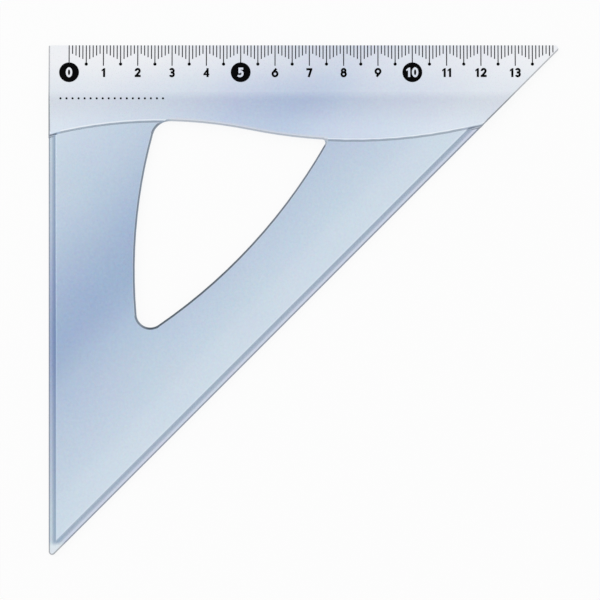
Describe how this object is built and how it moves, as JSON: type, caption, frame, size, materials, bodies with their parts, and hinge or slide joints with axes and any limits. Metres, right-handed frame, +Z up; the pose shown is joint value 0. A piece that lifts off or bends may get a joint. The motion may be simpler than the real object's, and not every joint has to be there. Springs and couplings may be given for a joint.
{
  "type": "set square",
  "caption": "Clear blue-tinted 45 degree set square with a bevelled millimetre scale along one leg, a wavy step, an ink-step rim and a curved window.",
  "frame": {"origin": "the right-angle corner of the flat underside", "axes": "+X along the scale leg from the corner, -Y along the plain leg, +Z up out of the printed side"},
  "size_m": [0.1486, 0.1486, 0.0023],
  "materials": {
    "clear_plastic": "polished, see-through, faint blue tint",
    "black_ink": "screen-printed ink"
  },
  "bodies": {
    "root": {"set_square_body": "clear_plastic", "millimetre_marks": "black_ink", "half_centimetre_marks": "black_ink", "half_centimetre_dots": "black_ink", "centimetre_marks": "black_ink", "disc_0": "black_ink", "disc_5": "black_ink", "disc_10": "black_ink", "numeral_1": "black_ink", "numeral_2": "black_ink", "numeral_3": "black_ink", "numeral_4": "black_ink", "numeral_6": "black_ink", "numeral_7": "black_ink", "numeral_8": "black_ink", "numeral_9": "black_ink", "numeral_11": "black_ink", "numeral_12": "black_ink", "numeral_13": "black_ink", "name_line_dots": "black_ink"}
  },
  "joints": []
}
